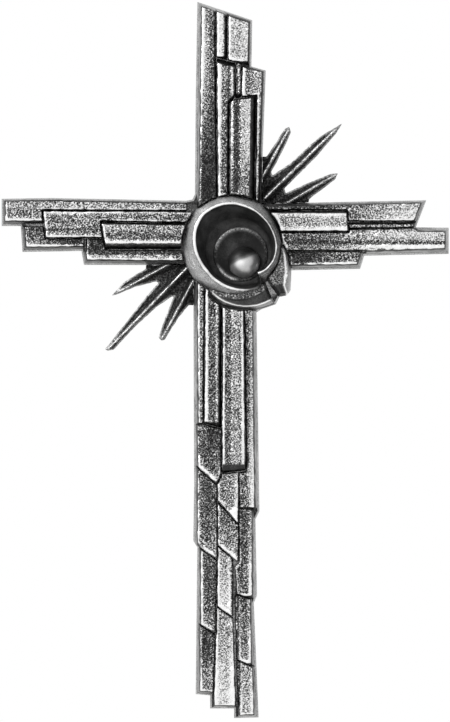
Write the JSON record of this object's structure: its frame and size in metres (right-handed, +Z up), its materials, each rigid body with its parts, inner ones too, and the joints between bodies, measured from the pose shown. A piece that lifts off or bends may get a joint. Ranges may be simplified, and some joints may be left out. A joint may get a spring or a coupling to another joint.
{
  "type": "processional cross",
  "caption": "Asymmetric relief cross built of slender cast bars with ray fans, an off-centre bowl and a rear staff socket with a thumb-screw clamp.",
  "frame": {"origin": "centre of the staff socket's mouth, on the staff's axis", "axes": "+Z up the staff, the relief faces -Y, +X to the viewer's right"},
  "size_m": [0.28, 0.0805, 0.4485],
  "materials": {
    "plate_casting": "cast, dark patina rubbed back",
    "bar_casting": "grainy cast face, dark patina rubbed back to bright edges",
    "ray_casting": "dark patina with bright ridges",
    "whirl_casting": "satin casting with bright rims",
    "polished_boss": "polished",
    "socket_steel": "satin, brazed",
    "fastener_steel": "zinc plated",
    "pad_brass": "turned"
  },
  "bodies": {
    "cross": {"backplate": "plate_casting", "bar_screws": "fastener_steel", "bracket_screws": "fastener_steel", "clamp_boss": "socket_steel", "left_bar_1": "bar_casting", "left_bar_2": "bar_casting", "left_bar_3": "bar_casting", "left_bar_4": "bar_casting", "left_bar_5": "bar_casting", "petal_screws": "fastener_steel", "ray_fan_lower": "ray_casting", "ray_fan_upper": "ray_casting", "ray_tie_bar": "fastener_steel", "right_bar_1": "bar_casting", "right_bar_2": "bar_casting", "right_bar_3": "bar_casting", "right_bar_4": "bar_casting", "right_bar_5": "bar_casting", "shaft_bar_1": "bar_casting", "shaft_bar_10": "bar_casting", "shaft_bar_11": "bar_casting", "shaft_bar_12": "bar_casting", "shaft_bar_13": "bar_casting", "shaft_bar_14": "bar_casting", "shaft_bar_15": "bar_casting", "shaft_bar_2": "bar_casting", "shaft_bar_3": "bar_casting", "shaft_bar_4": "bar_casting", "shaft_bar_5": "bar_casting", "shaft_bar_6": "bar_casting", "shaft_bar_7": "bar_casting", "shaft_bar_8": "bar_casting", "shaft_bar_9": "bar_casting", "slender_bar_screws": "fastener_steel", "socket_bracket": "socket_steel", "socket_cap": "socket_steel", "staff_socket": "socket_steel", "tie_bar_screws": "fastener_steel", "upper_bar_1": "bar_casting", "upper_bar_2": "bar_casting", "upper_bar_3": "bar_casting", "upper_bar_4": "bar_casting", "upper_bar_5": "bar_casting", "upper_bar_6": "bar_casting", "upper_bar_7": "bar_casting", "whirl_boss": "polished_boss", "whirl_bowl": "whirl_casting", "whirl_inner_cup": "whirl_casting", "whirl_lower_petal": "whirl_casting", "whirl_nut": "fastener_steel", "whirl_right_petal": "whirl_casting", "whirl_stud": "fastener_steel", "whirl_washer": "fastener_steel"},
    "pad": {"clamp_pad": "pad_brass"},
    "thumb_screw": {"clamp_screw": "fastener_steel"}
  },
  "joints": [
    {"name": "clamp_travel", "type": "slide", "parent": "cross", "child": "pad", "axis": [0, -1, 0], "range_m": [0, 0.005]},
    {"name": "clamp_turn", "type": "hinge", "parent": "pad", "child": "thumb_screw", "pos_m": [0, 0.0154, 0.03], "axis": [0, -1, 0], "range_deg": [0, 1440]}
  ],
  "couplings": [
    {"joint": "clamp_turn", "follows": "clamp_travel", "rad_per_m": 5026.5}
  ]
}
